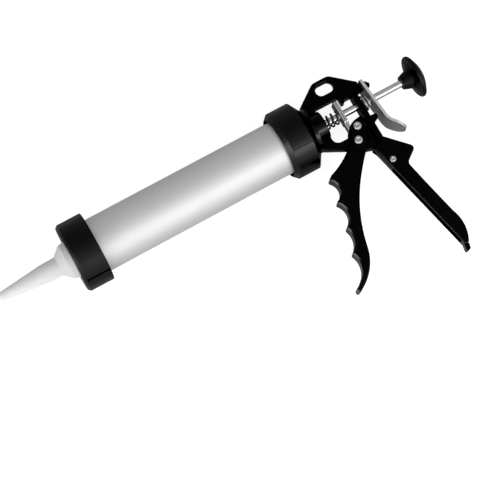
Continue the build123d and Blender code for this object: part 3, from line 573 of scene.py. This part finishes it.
@dataclass(frozen=True)
class Spring:
    """A round-wire coil spring on the rod, wound by Geometry Nodes.

    Attributes:
        node: The CAD node that it stands for.
        joint: The joint that presses it. Not used.
        turns: Its turns.
        left_hand: Whether it is wound left-handed.
        wire_mm: The wire's diameter.
        stroke_mm: How far the joint's limit presses it. Not used.
        finish: Its finish.
        turn_steps: How many steps each turn has.
        wire_sides: How many sides the wire has.
    """

    node: str
    joint: str
    turns: float
    left_hand: bool
    wire_mm: float
    stroke_mm: float
    finish: Finishes
    turn_steps: int = 48
    wire_sides: int = 14

    def build(self, shop: Workshop) -> None:
        """Wind the spring between its CAD node's ends.

        Args:
            shop: The workshop that places it.
        """
        low, high = (Vector(corner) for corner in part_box(self.node))
        wire = self.wire_mm * MM
        radius = (high.y - low.y - wire) / 2
        length = high.x - low.x - wire
        tree = bpy.data.node_groups.new(f"{self.node}_winding", "GeometryNodeTree")
        tree.interface.new_socket("Geometry", in_out="OUTPUT", socket_type="NodeSocketGeometry")
        sizes = {"Turns": self.turns, "Coil Radius": radius, "Length": length, "Wire Radius": wire / 2}
        ids = {
            name: tree.interface.new_socket(name, in_out="INPUT", socket_type="NodeSocketFloat").identifier
            for name in sizes
        }
        given = add_node(tree, "NodeGroupInput").outputs
        helix = add_node(
            tree,
            "GeometryNodeCurveSpiral",
            values={"Resolution": self.turn_steps, "Reverse": not self.left_hand},
            links={
                "Rotations": given["Turns"],
                "Start Radius": given["Coil Radius"],
                "End Radius": given["Coil Radius"],
                "Height": given["Length"],
            },
        )
        section = add_node(
            tree,
            "GeometryNodeCurvePrimitiveCircle",
            values={"Resolution": self.wire_sides},
            links={"Radius": given["Wire Radius"]},
        )
        tube = add_node(
            tree,
            "GeometryNodeCurveToMesh",
            values={"Fill Caps": True},
            links={"Curve": helix.outputs["Curve"], "Profile Curve": section.outputs["Curve"]},
        )
        shade = add_node(tree, "GeometryNodeSetShadeSmooth", links={"Geometry": tube.outputs["Mesh"]})
        real = add_node(tree, "GeometryNodeRealizeInstances", links={"Geometry": shade.outputs["Geometry"]})
        coat = add_node(
            tree,
            "GeometryNodeSetMaterial",
            values={"Material": shop.finish(self.finish)},
            links={"Geometry": real.outputs["Geometry"]},
        )
        add_node(tree, "NodeGroupOutput", links={"Geometry": coat.outputs["Geometry"]})

        piece = bpy.data.objects.new(f"{self.node}_wound", bpy.data.meshes.new(f"{self.node}_seed"))
        bpy.context.scene.collection.objects.link(piece)
        winding = piece.modifiers.new("winding", "NODES")
        winding.node_group = tree
        for name, value in sizes.items():
            winding[ids[name]] = value
        mesh = bpy.data.meshes.new_from_object(piece.evaluated_get(bpy.context.evaluated_depsgraph_get()))
        piece.modifiers.clear()
        piece.data = mesh
        z_to_x = Matrix(((0, 0, 1, 0), (1, 0, 0, 0), (0, 1, 0, 0), (0, 0, 0, 1)))
        mesh.transform(Matrix.Translation((low.x + wire / 2, 0, 0)) @ z_to_x)
        shop.place(piece, Body.GUN, Slot.STEEL)
        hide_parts(self.node)
        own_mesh(piece)


@dataclass
class Barrel:
    """The aluminium tube, the two screw caps and the ring that seats the tube.

    Attributes:
        cap_edge_mm: The radius of the caps' edges.
        tube_edge_mm: The radius of the tube's rims.
    """

    cap_edge_mm: float = 0.35
    tube_edge_mm: float = 0.3

    def build(self, shop: Workshop) -> None:
        """Dress the barrel and its caps."""
        abs_black, tube = Finishes.MOULDED_ABS, Finishes.ANODISED_ALUMINIUM
        shop.dress(Dress("barrel_tube", Body.GUN, Slot.BARREL, tube, self.tube_edge_mm))
        shop.dress(Dress("front_cap", Body.FRONT_CAP, Slot.CAP, abs_black, self.cap_edge_mm))
        shop.dress(Dress("rear_cap", Body.GUN, Slot.CAP, abs_black, self.cap_edge_mm))
        shop.dress(Dress("barrel_seat_ring", Body.GUN, Slot.SEAL, Finishes.NITRILE_RUBBER))


@dataclass
class Nozzle:
    """The milky spout and its gasket.

    Attributes:
        edge_mm: The radius of the spout's steps.
        step_deg: The least angle of a step that is rounded.
    """

    edge_mm: float = 0.6
    step_deg: float = 20.0

    def build(self, shop: Workshop) -> None:
        """Dress the nozzle."""
        milky = Finishes.NATURAL_POLYETHYLENE
        shop.dress(Dress("nozzle", Body.NOZZLE, Slot.NOZZLE, milky, self.edge_mm, self.step_deg))
        shop.dress(Dress("nozzle_gasket", Body.NOZZLE, Slot.SEAL, Finishes.NITRILE_RUBBER))


@dataclass
class Grip:
    """The cast frame with its nut and bush, the handle and the trigger with its rivets.

    Attributes:
        casting_edge_mm: The radius of the frame's edges.
        crisp_deg: The least angle of an edge on the frame and the handle.
        facet_deg: The least angle of an edge on the trigger.
    """

    casting_edge_mm: float = 0.5
    crisp_deg: float = 60.0
    facet_deg: float = 30.0

    def build(self, shop: Workshop) -> None:
        """Dress the castings and rivets."""
        enamel, zinc, peened = Finishes.BLACK_ENAMEL, Finishes.BRIGHT_ZINC, Finishes.PEENED_ZINC
        crisp = self.crisp_deg
        shop.dress(Dress("frame_casting", Body.GUN, Slot.PAINT, enamel, self.casting_edge_mm, crisp))
        shop.dress(Dress("handle_shell", Body.GUN, Slot.PAINT, enamel, sharp_deg=crisp))
        shop.dress(Dress("trigger", Body.TRIGGER, Slot.PAINT, enamel, sharp_deg=self.facet_deg))
        for node in ("handle_rivet", "trigger_pivot_rivet"):
            shop.dress(Dress(node, Body.GUN, Slot.STEEL, peened))
        shop.dress(Dress("drive_pin", Body.TRIGGER, Slot.STEEL, peened))
        shop.dress(Dress("drive_roller", Body.TRIGGER, Slot.STEEL, zinc))
        shop.dress(Dress("hub_lock_nut", Body.GUN, Slot.STEEL, zinc))
        shop.dress(Dress("rod_guide_bush", Body.GUN, Slot.BUSH, Finishes.TURNED_BRASS))


@dataclass
class Drive:
    """The push rod, its piston and knob, the grip plates, the lever and the springs.

    Attributes:
        plate_edge_mm: The radius of the grip plates' edges.
        lever_edge_mm: The radius of the lever's edges.
        rod_edge_mm: The radius of the rod's ends.
        drive_spring: The spring between the hub and the grip plates.
        release_spring: The spring between the post and the lever.
    """

    plate_edge_mm: float = 0.3
    lever_edge_mm: float = 0.6
    rod_edge_mm: float = 0.35
    drive_spring: Spring = Spring(
        "drive_spring", "grip_plate_slide",
        turns=3.0, left_hand=True, wire_mm=1.8, stroke_mm=7.6, finish=Finishes.SPRING_WIRE,
    )
    release_spring: Spring = Spring(
        "release_spring", "release_press",
        turns=1.5, left_hand=False, wire_mm=2.0, stroke_mm=1.2, finish=Finishes.PEENED_ZINC,
    )

    def build(self, shop: Workshop) -> None:
        """Dress the drive."""
        zinc, sheet, cut = Finishes.BRIGHT_ZINC, Finishes.SHADED_DULL_ZINC, Finishes.CUT_EDGE_ZINC
        # Faces of the plates and the lever that look along the barrel get the darker sheet finish: painted
        # shade.
        for node in ("grip_plate_front", "grip_plate_rear"):
            shop.dress(Dress(node, Body.PLATES, Slot.STEEL, zinc, self.plate_edge_mm, shaded_face_finish=sheet))
        shop.dress(Dress("release_lever", Body.LEVER, Slot.STEEL, cut, self.lever_edge_mm, shaded_face_finish=sheet))
        shop.dress(Dress("push_rod", Body.ROD, Slot.STEEL, zinc, self.rod_edge_mm))
        shop.dress(Dress("pull_knob", Body.ROD, Slot.KNOB, Finishes.KNOB_ABS))
        for node in ("piston_backing_plate", "piston_nut"):
            shop.dress(Dress(node, Body.ROD, Slot.STEEL, zinc))
        shop.dress(Dress("piston", Body.ROD, Slot.PISTON, Finishes.MOULDED_NYLON))
        shop.dress(Dress("piston_seal", Body.ROD, Slot.SEAL, Finishes.NITRILE_RUBBER))
        self.drive_spring.build(shop)
        self.release_spring.build(shop)


@dataclass(frozen=True)
class SoftBox:
    """A soft studio light.

    Attributes:
        name: Its name.
        place: Where it hangs, in metres.
        size: Its width and height, in metres.
        power: Its power in watts.
    """

    name: str
    place: tuple[float, float, float]
    size: tuple[float, float]
    power: float

    def hang(self, target: Vector) -> None:
        """Hang the light, turned to a point."""
        data = bpy.data.lights.new(self.name, "AREA")
        data.shape = "RECTANGLE"
        data.size, data.size_y = self.size
        data.energy = self.power
        lamp = bpy.data.objects.new(self.name, data)
        lamp.location = self.place
        lamp.rotation_euler = (target - Vector(self.place)).to_track_quat("-Z", "Y").to_euler()
        bpy.context.scene.collection.objects.link(lamp)


@dataclass
class Studio:
    """The pale floor, the soft light and the photograph's camera, in metres.

    Attributes:
        floor_tone: The floor's colour.
        floor_glow: How much brighter than lit the floor looks to the camera.
        floor_roughness: The floor's gloss, from mirror at 0 to chalk at 1.
        floor_half: Half the floor's width.
        front_glow: The tent's light on the handle's side.
        back_glow: The tent's light on the other side.
        glow_fade: The Y of the two directions between which the light fades from front to back.
        black_level: The light that still shows as black.
        lens_mm: The camera's focal length.
        sensor_mm: The camera's sensor width.
        eye: Where the camera stands.
        look: The point that it looks at.
        up: The way that is up in the picture.
        lights: The soft lights.
    """

    floor_tone: str = "#B8B8B8"
    floor_glow: float = 0.8
    floor_roughness: float = 0.9
    floor_half: float = 3.0
    front_glow: float = 1.0
    back_glow: float = 0.5
    glow_fade: tuple[float, float] = (-0.7, 0.25)
    black_level: float = 0.012
    lens_mm: float = 111.28
    sensor_mm: float = 36.0
    eye: tuple[float, float, float] = (0.0381, -0.3322, 1.4)
    look: tuple[float, float, float] = (0.2379, -0.0723, 0.0)
    up: tuple[float, float, float] = (0.4724, 0.8520, 0.2255)
    lights: tuple[SoftBox, ...] = (
        SoftBox("front_softbox", (0.58, -0.80, 0.68), (0.50, 0.32), 2.8),
        SoftBox("low_softbox", (-0.81, -0.48, 0.27), (0.90, 0.25), 6.4),
    )

    def build(self) -> None:
        """Lay the floor, hang the lights and set the camera."""
        low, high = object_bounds()
        self.lay_floor(low[2])
        target = (Vector(low) + Vector(high)) / 2
        for light in self.lights:
            light.hang(target)
        self.light_sky()
        self.set_tone()
        self.set_camera()

    def set_tone(self) -> None:
        """Keep plain tones, with the deep blacks of a product photograph."""
        view = bpy.context.scene.view_settings
        view.view_transform = "Standard"
        view.use_curve_mapping = True
        view.curve_mapping.black_level = (self.black_level,) * 3
        view.curve_mapping.update()

    def light_sky(self) -> None:
        """Make a plain tent of light, bright on the handle's side and dim on the other."""
        world = bpy.data.worlds.new("studio_tent")
        world.use_nodes = True
        tree = world.node_tree
        way = add_node(tree, "ShaderNodeTexCoord")
        parts = add_node(tree, "ShaderNodeSeparateXYZ", links={"Vector": way.outputs["Generated"]})
        glow = add_node(
            tree,
            "ShaderNodeMapRange",
            settings={"interpolation_type": "SMOOTHSTEP"},
            values={
                "From Min": self.glow_fade[0],
                "From Max": self.glow_fade[1],
                "To Min": self.front_glow,
                "To Max": self.back_glow,
            },
            links={"Value": parts.outputs["Y"]},
        )
        tree.links.new(glow.outputs["Result"], tree.nodes["Background"].inputs["Strength"])
        tree.nodes["Background"].inputs["Color"].default_value = linear(WHITE)
        bpy.context.scene.world = world

    def lay_floor(self, height: float) -> None:
        """Lay the floor under the gun.

        Args:
            height: The lowest point of the gun.
        """
        half = self.floor_half
        corners = [(x, y, height) for x, y in ((-half, -half), (half, -half), (half, half), (-half, half))]
        mesh = bpy.data.meshes.new("floor")
        mesh.from_pydata(corners, [], [(0, 1, 2, 3)])
        material = bpy.data.materials.new("lit_white_paper")
        material.use_nodes = True
        tree = material.node_tree
        shader = tree.nodes["Principled BSDF"]
        shader.inputs["Base Color"].default_value = linear(self.floor_tone)
        shader.inputs["Roughness"].default_value = self.floor_roughness
        shader.inputs["Specular IOR Level"].default_value = 0.0
        shader.inputs["Emission Color"].default_value = linear(WHITE)
        seen = add_node(tree, "ShaderNodeLightPath")
        glow = add_node(
            tree,
            "ShaderNodeMath",
            settings={"operation": "MULTIPLY"},
            values={1: self.floor_glow},
            links={0: seen.outputs["Is Camera Ray"]},
        )
        tree.links.new(glow.outputs["Value"], shader.inputs["Emission Strength"])
        mesh.materials.append(material)
        floor = bpy.data.objects.new("floor", mesh)
        bpy.context.scene.collection.objects.link(floor)
        floor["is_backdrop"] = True

    def set_camera(self) -> None:
        """Set the camera where the photograph was taken from."""
        data = bpy.data.cameras.new("photo_camera")
        data.lens = self.lens_mm
        data.sensor_width = self.sensor_mm
        camera = bpy.data.objects.new("photo_camera", data)
        back = (Vector(self.eye) - Vector(self.look)).normalized()
        right = Vector(self.up).cross(back).normalized()
        above = back.cross(right)
        camera.matrix_world = Matrix(
            (
                (right.x, above.x, back.x, self.eye[0]),
                (right.y, above.y, back.y, self.eye[1]),
                (right.z, above.z, back.z, self.eye[2]),
                (0, 0, 0, 1),
            )
        )
        bpy.context.scene.collection.objects.link(camera)
        bpy.context.scene.camera = camera


def main() -> None:
    """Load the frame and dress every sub-assembly."""
    logging.basicConfig(level=logging.INFO, format="%(message)s")
    shop = Workshop(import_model())
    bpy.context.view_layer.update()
    Studio().build()
    for assembly in (Barrel(), Nozzle(), Grip(), Drive()):
        assembly.build(shop)


if __name__ == "__main__":
    main()
